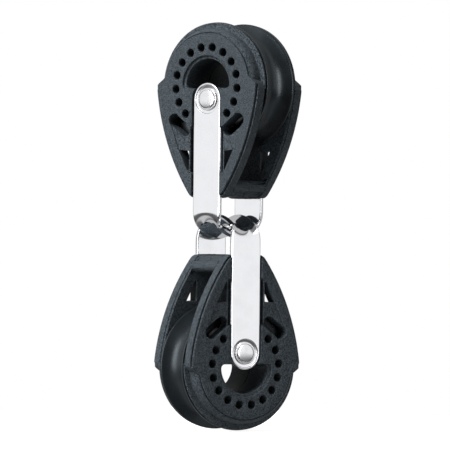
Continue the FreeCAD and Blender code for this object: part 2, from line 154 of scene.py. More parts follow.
class NodeTree:
    """A small wrapper that adds and joins nodes of a shader or geometry tree."""

    def __init__(self, tree: bpy.types.NodeTree) -> None:
        """Start from an emptied tree."""
        self.tree = tree
        tree.nodes.clear()

    def add(self, kind: str, inputs: dict | None = None, **settings: object) -> bpy.types.Node:
        """Add a node.

        Args:
            kind: The node's type name.
            inputs: Values, or output sockets to join, by input name or number.
            **settings: Properties of the node.

        Returns:
            The new node.
        """
        node = self.tree.nodes.new(kind)
        for name, value in settings.items():
            setattr(node, name, value)
        for key, value in (inputs or {}).items():
            if isinstance(value, bpy.types.NodeSocket):
                self.tree.links.new(value, node.inputs[key])
            else:
                node.inputs[key].default_value = value
        return node

    def ramp(self, factor: bpy.types.NodeSocket, stops: Sequence[tuple[float, float]]
             ) -> bpy.types.NodeSocket:
        """Map a factor through grey stops.

        Args:
            factor: The socket to map.
            stops: Pairs of position and grey value.

        Returns:
            The mapped value's socket.
        """
        node = self.add("ShaderNodeValToRGB", {"Fac": factor})
        elements = node.color_ramp.elements
        while len(elements) < len(stops):
            elements.new(0.5)
        for element, (place, grey) in zip(elements, stops):
            element.position = place
            element.color = (grey, grey, grey, 1.0)
        return node.outputs["Color"]

    def mix(self, factor: bpy.types.NodeSocket, first: Sequence[float], second: Sequence[float]
            ) -> bpy.types.NodeSocket:
        """Blend two colours by a factor socket and return the colour socket."""
        node = self.add("ShaderNodeMix", {"Factor": factor}, data_type="RGBA")
        node.inputs[6].default_value = (*first, 1.0)
        node.inputs[7].default_value = (*second, 1.0)
        return node.outputs[2]


# ---------------------------------------------------------------- finishes


@dataclass(frozen=True)
class Finish:
    """Base of every finish: a named material with one principled shader.

    Args:
        name: Name of the material.
        slot: The record's material slot; not used.
    """

    name: str
    slot: str

    def material(self) -> bpy.types.Material:
        """The finish's material, made once."""
        known = bpy.data.materials.get(self.name)
        if known:
            return known
        made = bpy.data.materials.new(self.name)
        made.use_nodes = True
        nodes = NodeTree(made.node_tree)
        shader = nodes.add("ShaderNodeBsdfPrincipled")
        output = nodes.add("ShaderNodeOutputMaterial")
        made.node_tree.links.new(shader.outputs["BSDF"], output.inputs["Surface"])
        place = nodes.add("ShaderNodeTexCoord").outputs["Object"]
        self.dress(nodes, shader, place)
        return made

    def dress(self, nodes: NodeTree, shader: bpy.types.Node, place: bpy.types.NodeSocket) -> None:
        """Set the shader's sockets; each finish has its own."""
        raise NotImplementedError

    @staticmethod
    def noise(nodes: NodeTree, place: bpy.types.NodeSocket, scale: float, detail: float
              ) -> bpy.types.NodeSocket:
        """A noise value in the piece's own coordinates; scale is in features per metre."""
        node = nodes.add("ShaderNodeTexNoise",
                         {"Vector": place, "Scale": scale, "Detail": detail})
        return node.outputs["Fac"]

    @staticmethod
    def bump(nodes: NodeTree, shader: bpy.types.Node, height: bpy.types.NodeSocket,
             strength: float, distance: float) -> None:
        """Give a shader a bump of a height socket, its distance in metres."""
        node = nodes.add("ShaderNodeBump",
                         {"Strength": strength, "Distance": distance, "Height": height})
        nodes.tree.links.new(node.outputs["Normal"], shader.inputs["Normal"])


@dataclass(frozen=True)
class MouldedNylon(Finish):
    """Glass-filled nylon with a fine spark-eroded grain and faint flow marks."""

    base: tuple[float, float, float] = (0.0050, 0.0068, 0.0082)
    fleck: tuple[float, float, float] = (0.034, 0.041, 0.047)
    grain_per_metre: float = 4600.0
    flow_per_metre: float = 900.0
    gloss: tuple[float, float] = (0.36, 0.52)
    specular: float = 0.05
    grain_depth: float = 0.00004

    def dress(self, nodes: NodeTree, shader: bpy.types.Node, place: bpy.types.NodeSocket) -> None:
        """Fine grain in colour, gloss and height, over slow flow marks."""
        grain = self.noise(nodes, place, self.grain_per_metre, 0.5)
        flow = self.noise(nodes, place, self.flow_per_metre, 3.0)
        flow = nodes.ramp(flow, [(0.3, 0.47), (0.7, 0.53)])
        both = nodes.add("ShaderNodeMath", {0: grain, 1: flow}, operation="MULTIPLY")
        fleck = nodes.ramp(both.outputs[0], [(0.16, 0.0), (0.34, 1.0)])
        nodes.tree.links.new(nodes.mix(fleck, self.base, self.fleck), shader.inputs["Base Color"])
        gloss = nodes.ramp(grain, [(0.25, self.gloss[0]), (0.75, self.gloss[1])])
        nodes.tree.links.new(gloss, shader.inputs["Roughness"])
        shader.inputs["Specular IOR Level"].default_value = self.specular
        self.bump(nodes, shader, grain, 0.7, self.grain_depth)


@dataclass(frozen=True)
class TurnedNylon(Finish):
    """Near-black carbon-filled nylon, satin where the rope has polished it."""

    base: tuple[float, float, float] = (0.0030, 0.0040, 0.0048)
    worn: tuple[float, float, float] = (0.0050, 0.0064, 0.0075)
    tint: tuple[float, float, float, float] = (0.82, 0.92, 1.0, 1.0)
    wear_per_metre: float = 190.0
    grain_per_metre: float = 4200.0
    gloss: tuple[float, float] = (0.24, 0.34)
    specular: float = 0.55
    grain_depth: float = 0.00002

    def dress(self, nodes: NodeTree, shader: bpy.types.Node, place: bpy.types.NodeSocket) -> None:
        """Slow variation of gloss, with a fine grain."""
        slow = self.noise(nodes, place, self.wear_per_metre, 4.0)
        fine = self.noise(nodes, place, self.grain_per_metre, 2.0)
        wear = nodes.ramp(slow, [(0.40, 0.0), (0.68, 1.0)])
        nodes.tree.links.new(nodes.mix(wear, self.base, self.worn), shader.inputs["Base Color"])
        gloss = nodes.ramp(slow, [(0.3, self.gloss[0]), (0.7, self.gloss[1])])
        nodes.tree.links.new(gloss, shader.inputs["Roughness"])
        shader.inputs["Specular IOR Level"].default_value = self.specular
        shader.inputs["Specular Tint"].default_value = self.tint
        self.bump(nodes, shader, fine, 0.12, self.grain_depth)


@dataclass(frozen=True)
class PolishedSteel(Finish):
    """Bright stainless strip with faint polishing haze."""

    base: tuple[float, float, float] = (0.90, 0.905, 0.93)
    haze: tuple[float, float, float] = (0.875, 0.88, 0.905)
    gloss: tuple[float, float] = (0.07, 0.13)
    haze_per_metre: float = 320.0
    grain_per_metre: float = 2600.0
    grain_depth: float = 0.00001

    def dress(self, nodes: NodeTree, shader: bpy.types.Node, place: bpy.types.NodeSocket) -> None:
        """Soft haze in colour and roughness, and a very fine polishing grain."""
        slow = self.noise(nodes, place, self.haze_per_metre, 3.0)
        fine = self.noise(nodes, place, self.grain_per_metre, 4.0)
        haze = nodes.ramp(slow, [(0.42, 0.0), (0.72, 1.0)])
        nodes.tree.links.new(nodes.mix(haze, self.base, self.haze), shader.inputs["Base Color"])
        gloss = nodes.ramp(slow, [(0.3, self.gloss[0]), (0.75, self.gloss[1])])
        nodes.tree.links.new(gloss, shader.inputs["Roughness"])
        shader.inputs["Metallic"].default_value = 1.0
        self.bump(nodes, shader, fine, 0.02, self.grain_depth)


@dataclass(frozen=True)
class AcetalBall(Finish):
    """White acetal, smooth and a little translucent."""

    base: tuple[float, float, float] = (0.72, 0.72, 0.70)
    shade: tuple[float, float, float] = (0.60, 0.60, 0.58)
    cloud_per_metre: float = 700.0
    gloss: tuple[float, float] = (0.22, 0.3)
    glow: float = 0.1
    glow_depth: float = 0.0006

    def dress(self, nodes: NodeTree, shader: bpy.types.Node, place: bpy.types.NodeSocket) -> None:
        """Slight cloudiness under a smooth skin."""
        cloud = self.noise(nodes, place, self.cloud_per_metre, 2.0)
        nodes.tree.links.new(nodes.mix(cloud, self.base, self.shade), shader.inputs["Base Color"])
        gloss = nodes.ramp(cloud, [(0.3, self.gloss[0]), (0.7, self.gloss[1])])
        nodes.tree.links.new(gloss, shader.inputs["Roughness"])
        shader.inputs["Subsurface Weight"].default_value = self.glow
        shader.inputs["Subsurface Scale"].default_value = self.glow_depth


CHEEK_NYLON = MouldedNylon("cheek_nylon_grained", "cheek_nylon")
SHEAVE_NYLON = TurnedNylon("sheave_nylon_satin", "sheave_nylon")
STRAP_STEEL = PolishedSteel("strap_steel_polished", "strap_steel")
RIVET_STEEL = PolishedSteel("rivet_steel_turned", "rivet_steel", base=(0.86, 0.865, 0.88),
                            haze=(0.76, 0.765, 0.79), gloss=(0.12, 0.22))
BALL_ACETAL = AcetalBall("ball_acetal_white", "ball_acetal")


# ---------------------------------------------------------------- outlines


def arc(centre: Point, radius: float, start: float, end: float, steps: int) -> Outline:
    """Points along an arc, both ends included.

    Args:
        centre: Centre of the arc.
        radius: Its radius.
        start: First angle in degrees.
        end: Last angle in degrees; lower than start to go clockwise.
        steps: Number of equal steps.

    Returns:
        The points.
    """
    angles = [math.radians(start + (end - start) * i / steps) for i in range(steps + 1)]
    return [(centre[0] + radius * math.cos(a), centre[1] + radius * math.sin(a)) for a in angles]


def bezier(control: Sequence[Point], share: float) -> Point:
    """A point on a cubic curve with four control points."""
    rest = 1 - share
    weights = (rest ** 3, 3 * rest ** 2 * share, 3 * rest * share ** 2, share ** 3)
    return (sum(w * p[0] for w, p in zip(weights, control)),
            sum(w * p[1] for w, p in zip(weights, control)))


def offset_inwards(outline: Outline, inset: float) -> Outline:
    """A convex anticlockwise outline moved inwards by a small distance."""
    result = []
    count = len(outline)
    for i, (x, y) in enumerate(outline):
        before, after = outline[i - 1], outline[(i + 1) % count]
        along = Vector((after[0] - before[0], after[1] - before[1])).normalized()
        result.append((x - along.y * inset, y + along.x * inset))
    return result


def circle(centre: Point, radius: float, steps: int) -> Outline:
    """A closed circle without its repeated last point."""
    return arc(centre, radius, 0.0, 360.0, steps)[:-1]


def mirrored(outline: Outline) -> Outline:
    """The outline on the other side of the Y axis, still anticlockwise."""
    return [(-x, y) for x, y in reversed(outline)]


def inside(points: np.ndarray, outline: Outline) -> np.ndarray:
    """Which points lie inside an outline.

    Args:
        points: An array of shape (n, 2).
        outline: A closed outline.

    Returns:
        A boolean array of length n.
    """
    x, y = points[:, 0], points[:, 1]
    result = np.zeros(len(points), dtype=bool)
    for (x1, y1), (x2, y2) in zip(outline, outline[1:] + outline[:1]):
        if y1 == y2:
            continue
        crosses = (y1 > y) != (y2 > y)
        result ^= crosses & (x < (x2 - x1) * (y - y1) / (y2 - y1) + x1)
    return result


# ---------------------------------------------------------------- relief solids


class Act(Enum):
    """What a zone does to a relief solid."""

    FILL = "fill"
    TRIM = "trim"
    HOLE = "hole"


@dataclass
class Zone:
    """One step in making a relief solid.

    Args:
        act: FILL adds material between two levels, TRIM changes the levels of material that is
            there, and HOLE removes it.
        outline: Where it acts.
        bottom: New lower level, or None to leave it.
        top: New upper level, or None to leave it; a function of x and y, or a number.
    """

    act: Act
    outline: Outline
    bottom: float | None = None
    top: float | Level | None = None


class ReliefSolid:
    """A closed solid whose lower and upper surfaces are levels over a plan of zones."""

    def __init__(self, zones: Sequence[Zone]) -> None:
        """Lay the zones out in plan and cut it into triangles.

        Args:
            zones: The zones, in the order in which they act.
        """
        coords: list[Vector] = []
        edges: list[tuple[int, int]] = []
        for zone in zones:
            first = len(coords)
            count = len(zone.outline)
            coords += [Vector(p) for p in zone.outline]
            edges += [(first + i, first + (i + 1) % count) for i in range(count)]
        verts, _, faces, *_ = delaunay_2d_cdt(coords, edges, [], 0, 1e-4, False)
        self.plan = [(v.x, v.y) for v in verts]
        self.triangles = [tuple(f) for f in faces]
        self.spans = self._levels(zones)

    def _levels(self, zones: Sequence[Zone]) -> list[list[tuple[float, float]] | None]:
        """Lower and upper level at each corner of each triangle, or None where it is empty."""
        plan = np.array(self.plan)
        tris = np.array(self.triangles)
        middles = plan[tris].mean(axis=1)
        filled = np.zeros(len(tris), dtype=bool)
        bottoms: list[float] = [0.0] * len(tris)
        tops: list[float | Level] = [0.0] * len(tris)
        for zone in zones:
            here = inside(middles, zone.outline)
            if zone.act is Act.HOLE:
                filled &= ~here
                continue
            if zone.act is Act.FILL:
                filled |= here
            for i in np.flatnonzero(here & filled):
                if zone.bottom is not None:
                    bottoms[i] = zone.bottom
                if zone.top is not None:
                    tops[i] = zone.top
        spans: list[list[tuple[float, float]] | None] = []
        for i, triangle in enumerate(self.triangles):
            if not filled[i]:
                spans.append(None)
                continue
            top = tops[i]
            corners = [self.plan[v] for v in triangle]
            spans.append([(bottoms[i], round(top(*c), 5) if callable(top) else top)
                          for c in corners])
        return spans

    def mesh(self, name: str, keep_above: float = math.inf) -> bpy.types.Mesh:
        """Build the solid as a mesh in millimetres.

        Args:
            name: Name of the mesh.
            keep_above: Every point past this Y is kept, so that something can join on there.

        Returns:
            A closed mesh, its flat faces joined up.
        """
        heights: list[set[float]] = [set() for _ in self.plan]
        owner: dict[tuple[int, int], int] = {}
        for i, (triangle, span) in enumerate(zip(self.triangles, self.spans)):
            if span is None:
                continue
            for k in range(3):
                heights[triangle[k]].update(span[k])
                owner[(triangle[k], triangle[(k + 1) % 3])] = i
        shell = bmesh.new()
        made: dict[tuple[int, float], bmesh.types.BMVert] = {}

        def corner(plan_index: int, height: float) -> bmesh.types.BMVert:
            """The one vertex at a place in plan and a height."""
            key = (plan_index, height)
            if key not in made:
                x, y = self.plan[plan_index]
                made[key] = shell.verts.new((x, y, height))
            return made[key]

        def rise(plan_index: int, low: float, high: float) -> list[bmesh.types.BMVert]:
            """Every vertex above a place in plan between two heights, upwards."""
            levels = sorted(h for h in heights[plan_index] if low <= h <= high)
            return [corner(plan_index, h) for h in levels]

        for i, (triangle, span) in enumerate(zip(self.triangles, self.spans)):
            if span is None:
                continue
            shell.faces.new([corner(triangle[k], span[k][1]) for k in range(3)])
            shell.faces.new([corner(triangle[k], span[k][0]) for k in (2, 1, 0)])
            for k in range(3):
                a, b = triangle[k], triangle[(k + 1) % 3]
                own = (span[k], span[(k + 1) % 3])
                for low, high in self._bare(own, owner.get((b, a)), a, b):
                    ring = rise(a, low[0], high[0])[::-1] + rise(b, low[1], high[1])
                    if len(ring) > 2:
                        shell.faces.new(ring)
        free = [v for v in shell.verts if v.co.y < keep_above]
        bmesh.ops.dissolve_limit(
            shell, angle_limit=math.radians(0.4), verts=free,
            edges=[e for e in shell.edges if min(v.co.y for v in e.verts) < keep_above])
        mesh = bpy.data.meshes.new(name)
        shell.to_mesh(mesh)
        shell.free()
        return mesh

    def _bare(self, own: tuple[tuple[float, float], tuple[float, float]], other: int | None,
              a: int, b: int) -> list[tuple[Point, Point]]:
        """Parts of a triangle's side that its neighbour leaves bare, as low and high pairs."""
        low = (own[0][0], own[1][0])
        high = (own[0][1], own[1][1])
        if other is None:
            return [(low, high)]
        triangle = self.triangles[other]
        span = self.spans[other]
        there_a = span[triangle.index(a)]
        there_b = span[triangle.index(b)]
        bare = []
        if high[0] > there_a[1] or high[1] > there_b[1]:
            bare.append(((there_a[1], there_b[1]), high))
        if low[0] < there_a[0] or low[1] < there_b[0]:
            bare.append((low, (there_a[0], there_b[0])))
        return bare


# ---------------------------------------------------------------- mesh helpers


def place_mesh(mesh: bpy.types.Mesh, name: str, matrix: Matrix) -> bpy.types.Object:
    """Put a mesh at its place in the row frame as a linked object.

    Args:
        mesh: A mesh in a block's millimetres.
        name: Name of the piece.
        matrix: Transform to the row frame's metres.

    Returns:
        The object, at the origin.
    """
    mesh.transform(matrix)
    piece = bpy.data.objects.new(name, mesh)
    bpy.context.scene.collection.objects.link(piece)
    return piece


def smooth(mesh: bpy.types.Mesh, angle: float = 50.0) -> None:
    """Shade a mesh smooth, with edges over an angle in degrees kept sharp."""
    mesh.shade_smooth()
    mesh.set_sharp_from_angle(angle=math.radians(angle))


def bake(piece: bpy.types.Object) -> None:
    """Replace a piece's mesh with its evaluated one and drop its modifiers."""
    graph = bpy.context.evaluated_depsgraph_get()
    result = bpy.data.meshes.new_from_object(piece.evaluated_get(graph))
    old = piece.data
    piece.modifiers.clear()
    piece.data = result
    bpy.data.meshes.remove(old)


def weigh_edges(mesh: bpy.types.Mesh, rounding: Callable[[float, float, float], float],
                angle: float = 30.0) -> None:
    """Store how far each edge of a mesh is to be rounded.

    Args:
        mesh: A mesh in millimetres.
        rounding: Radius in millimetres at a place, 0 to 1.
        angle: Smallest bend, in degrees, that is rounded.
    """
    shell = bmesh.new()
    shell.from_mesh(mesh)
    weight = shell.edges.layers.float.new("bevel_weight_edge")
    for edge in shell.edges:
        if len(edge.link_faces) == 2 and edge.calc_face_angle(0.0) > math.radians(angle):
            edge[weight] = rounding(*((edge.verts[0].co + edge.verts[1].co) / 2))
    shell.to_mesh(mesh)
    shell.free()


def round_edges(piece: bpy.types.Object, segments: int = 3) -> None:
    """Round a piece's weighed edges and bake them in.

    Args:
        piece: The piece; a weight of 1 stands for 1 mm.
        segments: Number of steps across a rounding.
    """
    bevel = piece.modifiers.new("edge_round", "BEVEL")
    bevel.width = MM
    bevel.segments = segments
    bevel.limit_method = "WEIGHT"
    bevel.use_clamp_overlap = False
    bevel.miter_outer = "MITER_ARC"
    weighted = piece.modifiers.new("even_shading", "WEIGHTED_NORMAL")
    weighted.keep_sharp = True
    weighted.weight = 60
    piece.data.shade_smooth()
    bake(piece)


def lathe(name: str, section: Sequence[Point], steps: int) -> bpy.types.Mesh:
    """Turn a section about the Z axis.

    Args:
        name: Name of the mesh.
        section: Closed section as (radius, height), anticlockwise; points on the axis close it.
        steps: Number of steps round.

    Returns:
        A closed mesh in millimetres.
    """
    shell = bmesh.new()
    rings = []
    for i in range(steps):
        turn = 2 * math.pi * i / steps
        rings.append([shell.verts.new((r * math.cos(turn), r * math.sin(turn), h))
                      for r, h in section])
    count = len(section)
    for i in range(steps):
        here, there = rings[i], rings[(i + 1) % steps]
        for k in range(count):
            after = (k + 1) % count
            if section[k][0] < 1e-6 and section[after][0] < 1e-6:
                continue
            shell.faces.new((here[k], here[after], there[after], there[k]))
    bmesh.ops.remove_doubles(shell, verts=shell.verts[:], dist=1e-5)
    bmesh.ops.recalc_face_normals(shell, faces=shell.faces[:])
    mesh = bpy.data.meshes.new(name)
    shell.to_mesh(mesh)
    shell.free()
    return mesh


def rounded_section(corners: Sequence[tuple[float, float, float]], steps: int = 4
                    ) -> list[Point]:
    """Round the corners of a closed section.

    Args:
        corners: Corners as (radius, height, rounding), the rounding 0 for a sharp corner.
        steps: Steps across each rounding.

    Returns:
        The section's points.
    """
    points: list[Point] = []
    count = len(corners)
    for i, (x, y, rounding) in enumerate(corners):
        here = Vector((x, y))
        if rounding <= 0:
            points.append((x, y))
            continue
        before = (Vector(corners[i - 1][:2]) - here).normalized()
        after = (Vector(corners[(i + 1) % count][:2]) - here).normalized()
        half = before.angle(after) / 2
        reach = rounding / math.tan(half)
        start, end = here + before * reach, here + after * reach
        for k in range(steps + 1):
            t = k / steps
            bent = start * (1 - t) ** 2 + here * (2 * t * (1 - t)) + end * t ** 2
            points.append((bent.x, bent.y))
    return points


def show(piece: bpy.types.Object, finish: Finish, body: str, *nodes: str) -> None:
    """Give a finished piece its finish, its body and the nodes that it stands for."""
    piece.data.materials.clear()
    piece.data.materials.append(finish.material())
    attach(piece, body)
    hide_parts(*nodes)
    LOG.info("%s: %d faces on %s", piece.name, len(piece.data.polygons), body)


# ---------------------------------------------------------------- pieces of a block


def bore_outline(radius: float, web: float = 0.66, corner: float = 1.0) -> Outline:
    """A round bore closed off straight on its head side, with small corner rounds."""
    drop = web - corner
    inner = radius - corner
    reach = math.sqrt(inner ** 2 - drop ** 2)
    lean = math.degrees(math.atan2(drop, reach))
    return (arc((0, 0), radius, 180 - lean, 360 + lean, 96)
            + arc((reach, drop), corner, lean, 90, 8)[1:]
            + arc((-reach, drop), corner, 90, 180 - lean, 8)[:-1])


@dataclass
class Cheek:
    """Half a shell: a plate with a sloping round end, a hub and a bridge inside.

    Args:
        frame: Frame of the block.
        face: Side of the block.
        outer: Height of the plate's outer face; the other sizes are in the same frame.
    """

    frame: BlockFrame
    face: Face
    inner: float = 5.5
    outer: float = 8.94
    middle: float = 0.02
    rim: float = 14.4
    flat: float = 11.85
    hub: float = 7.04
    bore: float = 6.05
    lip: float = 6.75
    lip_depth: float = 0.6
    bed: float = 7.36
    bed_half: float = 4.0
    bed_wide_half: float = 4.6
    panel_depth: float = 0.4
    pin: Point = (0.0, 3.16)
    pin_hole: float = 1.65
    head_rivet: Point = (0.0, 24.0)
    head_rivet_seat: float = 1.55
    head_rivet_depth: float = 0.6
    head_rivet_hole: float = 0.85
    ring: float = 8.69
    hole: float = 0.98
    holes: int = 14
    balls: int = 17
    step: float = 8.35
    slope: tuple[Point, ...] = ((12.1, 8.6), (12.65, 8.1), (13.0, 7.1))
    flange_top: float = 6.0
    band_inset: float = 0.35
    groove_inset: float = 0.52
    groove: float = 7.95
    band_low: float = 5.9
    band_high: float = 8.4
    flank_start: float = 2.0
    flank_end: Point = (5.2, 24.6)
    flank_radius: float = 50.8
    head_end: Point = (3.25, 25.6)
    head_radius: float = 2.4
    bed_end: float = 27.6
    bed_widening: tuple[float, float] = (9.3, 9.9)
    bed_narrowing: tuple[float, float] = (19.6, 20.2)
    panel_ring: float = 10.5
    panel_reach: float = 8.4
    panel_side: tuple[Point, ...] = ((10.5, 7.6), (7.75, 14.6))
    panel_end: float = 20.0
    window_corners: tuple[Point, ...] = ((5.0, 14.9), (7.6, 14.7), (5.3, 19.3), (5.0, 19.3))
    slot_low: Point = (9.1, 7.9)
    slot_high: Point = (6.16, 10.05)
    slot_radius: float = 1.47
    sweep: tuple[Point, ...] = ((11.56, -2.6), (11.75, -1.3), (14.1, -0.9), (14.25, 0.6))
    sweep_end: tuple[Point, ...] = ((14.6, 1.3), (17, 3.5))
    bar_centre: Point = (5.0, 22.8)
    bar_radius: float = 1.3
    bar_wall: tuple[Point, ...] = ((4.6, 24.1), (4.2, 25.3))
    bridge_overlap: float = 0.5

    def plate(self, inset: float = 0.0) -> Outline:
        """Outline of the plate, or a line inside it: round end, flanks and head."""
        start = (math.sqrt(self.rim ** 2 - self.flank_start ** 2), self.flank_start)
        lift = math.degrees(math.asin(self.flank_start / self.rim))
        right = self.flank(start, self.flank_end, self.flank_radius, 22)
        corner = self.flank(self.flank_end, self.head_end, self.head_radius, 8)
        half = right[1:] + corner[1:]
        outline = (arc((0, 0), self.rim, 180 - lift, 360 + lift, 220) + half
                   + [(-x, y) for x, y in reversed(half)])
        return offset_inwards(outline, inset) if inset else outline

    @staticmethod
    def flank(start: Point, end: Point, radius: float, steps: int) -> Outline:
        """An anticlockwise arc of a given radius between two points."""
        run = Vector(end) - Vector(start)
        middle = (Vector(start) + Vector(end)) / 2
        away = Vector((-run.y, run.x)).normalized()
        centre = middle + away * math.sqrt(radius ** 2 - (run.length / 2) ** 2)
        first = math.degrees(math.atan2(start[1] - centre.y, start[0] - centre.x))
        last = math.degrees(math.atan2(end[1] - centre.y, end[0] - centre.x))
        return arc((centre.x, centre.y), radius, first, last, steps)

    def channel(self) -> Outline:
        """Bed of the strap's leg, round about the centre rivet and wider in its middle."""
        narrow, wide = self.bed_half, self.bed_wide_half
        right = [(narrow, self.bed_widening[0]), (wide, self.bed_widening[1]),
                 (wide, self.bed_narrowing[0]), (narrow, self.bed_narrowing[1]),
                 (narrow, self.bed_end)]
        return (arc(self.pin, narrow, 180, 360, 48) + right
                + [(-x, y) for x, y in reversed(right)])

    def panel(self) -> Outline:
        """Sunk panel to the right of the strap."""
        ring = self.panel_ring
        low = math.degrees(math.asin(math.sqrt(ring ** 2 - self.panel_reach ** 2) / ring))
        high = math.degrees(math.acos(self.bed_half / ring))
        return (arc((0, 0), ring, high, low, 16) + list(self.panel_side)
                + [(self.bed_wide_half, self.panel_end), (self.bed_half, self.panel_end)])

    def slot(self) -> Outline:
        """Slot for a whipping line in the sunk panel."""
        low, high = Vector(self.slot_low), Vector(self.slot_high)
        lean = math.degrees(math.atan2(high.y - low.y, high.x - low.x))
        return (arc((low.x, low.y), self.slot_radius, lean + 90, lean + 270, 18)
                + arc((high.x, high.y), self.slot_radius, lean - 90, lean + 90, 18))

    def shoulder(self, radius: float) -> Outline:
        """The round end outside a radius, up to the shoulders, which sweep out in an S."""
        path = [bezier(self.sweep, i / 20) for i in range(21)]
        start = next(i for i, point in enumerate(path) if math.hypot(*point) > radius + 0.03)
        while start > 1 and math.hypot(*path[start - 1]) > radius:
            start -= 1
        path = path[start:]
        first = math.degrees(math.atan2(path[0][1], path[0][0]))
        right = path + list(self.sweep_end)
        clear, far = 0.9, self.sweep_end[-1][0]
        inner = arc((0, 0), radius, 360 + first - clear, 180 - first + clear, 160)
        return (inner + [(-x, y) for x, y in right]
                + [(-far, -far), (far, -far)] + right[::-1])

    def slope_height(self, x: float, y: float) -> float:
        """Height of the slope between the flat face's groove and the ridge."""
        return float(np.interp(math.hypot(x, y), *zip(*self.slope)))

    def bridge(self) -> Outline:
        """The round bar across the throat and the wall from it to the head."""
        right = arc(self.bar_centre, self.bar_radius, -90, 90, 18) + list(self.bar_wall)
        return right + [(-x, y) for x, y in reversed(right)]

    def zones(self) -> list[Zone]:
        """The steps that shape the cheek, in order."""
        zones = [
            Zone(Act.FILL, self.bridge(), self.middle, self.inner + self.bridge_overlap),
            Zone(Act.FILL, self.plate(), self.band_low, self.band_high),
            Zone(Act.FILL, self.plate(self.band_inset), self.inner, self.groove),
            Zone(Act.FILL, self.plate(self.groove_inset), self.inner, self.outer),
            Zone(Act.TRIM, self.bridge(), self.middle),
            Zone(Act.TRIM, circle((0, 0), self.hub, 96), self.middle),
            Zone(Act.TRIM, self.shoulder(self.flat), None, self.step),
        ]
        zones += [Zone(Act.TRIM, self.shoulder(radius), None, self.slope_height)
                  for radius, _ in self.slope[:-1]]
        zones.append(Zone(Act.TRIM, self.shoulder(self.slope[-1][0]), self.inner,
                          self.flange_top))
        zones.append(Zone(Act.TRIM, bore_outline(self.lip), None, self.outer - self.lip_depth))
        for panel in (self.panel(), mirrored(self.panel())):
            zones.append(Zone(Act.TRIM, panel, None, self.outer - self.panel_depth))
        zones.append(Zone(Act.TRIM, self.channel(), None, self.bed))
        zones.append(Zone(Act.HOLE, bore_outline(self.bore)))
        window, slot = list(self.window_corners), self.slot()
        for outline in (window, slot, mirrored(window), mirrored(slot)):
            zones.append(Zone(Act.HOLE, outline))
        zones.append(Zone(Act.HOLE, circle(self.pin, self.pin_hole, 48)))
        zones.append(Zone(Act.TRIM, circle(self.head_rivet, self.head_rivet_seat, 32), None,
                          self.bed - self.head_rivet_depth))
        zones.append(Zone(Act.HOLE, circle(self.head_rivet, self.head_rivet_hole, 24)))
        pitch = 360 / self.balls
        for i in range(self.holes):
            turn = math.radians(270 + pitch * (i - (self.holes - 1) / 2))
            centre = (self.ring * math.cos(turn), self.ring * math.sin(turn))
            zones.append(Zone(Act.HOLE, circle(centre, self.hole, 32)))
        return zones

    def rounding(self, x: float, y: float, z: float) -> float:
        """Radius of the edge at a place, small where short edges crowd round the shoulders."""
        reach = math.hypot(x, y)
        if y < 0.5 and 11.7 < reach < 12.2 and z > 8.2:
            return 0.07
        if abs(z - self.groove) < 0.01:
            return 0.05
        if abs(z - self.band_high) < 0.01 or abs(z - self.band_low) < 0.01:
            return 0.12
        if abs(z - (self.outer - self.panel_depth)) < 0.01:
            return 0.12
        if y < 0.5 and reach > 14.3:
            return 0.22
        if -3.0 < y < 0.9 and reach > 11.6:
            return 0.06
        if y < 0.7 and reach > 12.5:
            return 0.1
        return 0.18

    def build(self) -> None:
        """Make the cheek."""
        name = self.frame.node(f"{self.face.value}_cheek")
        mesh = ReliefSolid(self.zones()).mesh(f"{name}_shell")
        weigh_edges(mesh, self.rounding)
        piece = place_mesh(mesh, f"{name}_moulding", self.frame.facing(self.face))
        round_edges(piece)
        show(piece, CHEEK_NYLON, f"{self.frame.side.value}_frame", name)


@dataclass
class Sheave:
    """The grooved wheel, with a rib between the two rows of balls."""

    frame: BlockFrame
    radius: float = 14.5
    half: float = 5.2
    mouth: float = 4.65
    bottom: float = 11.2
    race: float = 10.3375
    rib: float = 7.7
    rib_half: float = 0.85
    lip: float = 0.2
    lip_bevel: float = 0.06
    lip_lead: Point = (0.02, 0.08)
    race_round: float = 0.25
    rib_root: float = 0.15
    rib_round: float = 0.2

    def section(self) -> list[Point]:
        """Closed section as radius and height."""
        depth = self.radius - self.bottom
        groove = (self.mouth ** 2 + depth ** 2) / (depth * 2)
        sweep = math.degrees(math.asin(self.mouth / groove))
        curve = arc((self.bottom + groove, 0), groove, 180 + sweep - 2, 180 - sweep + 2, 40)
        low_lip = [(self.radius - self.lip_lead[0], -self.mouth - self.lip_lead[1]),
                   (self.radius, -self.mouth - self.lip), (self.radius, -self.half + self.lip),
                   (self.radius - self.lip_bevel, -self.half + self.lip_bevel),
                   (self.radius - self.lip, -self.half)]
        high_lip = [(r, -h) for r, h in low_lip]
        inner = rounded_section([(self.race, self.half, self.race_round),
                                 (self.race, self.rib_half, self.rib_root),
                                 (self.rib, self.rib_half, self.rib_round),
                                 (self.rib, -self.rib_half, self.rib_round),
                                 (self.race, -self.rib_half, self.rib_root),
                                 (self.race, -self.half, self.race_round),
                                 (self.radius - self.lip, -self.half, 0.0)])
        return low_lip[::-1] + curve + high_lip + inner[:-1]

    def build(self) -> None:
        """Make the sheave."""
        name = self.frame.node("sheave")
        mesh = lathe(f"{name}_turned", self.section(), 192)
        smooth(mesh)
        piece = place_mesh(mesh, f"{name}_wheel", self.frame.matrix)
        show(piece, SHEAVE_NYLON, name, name)


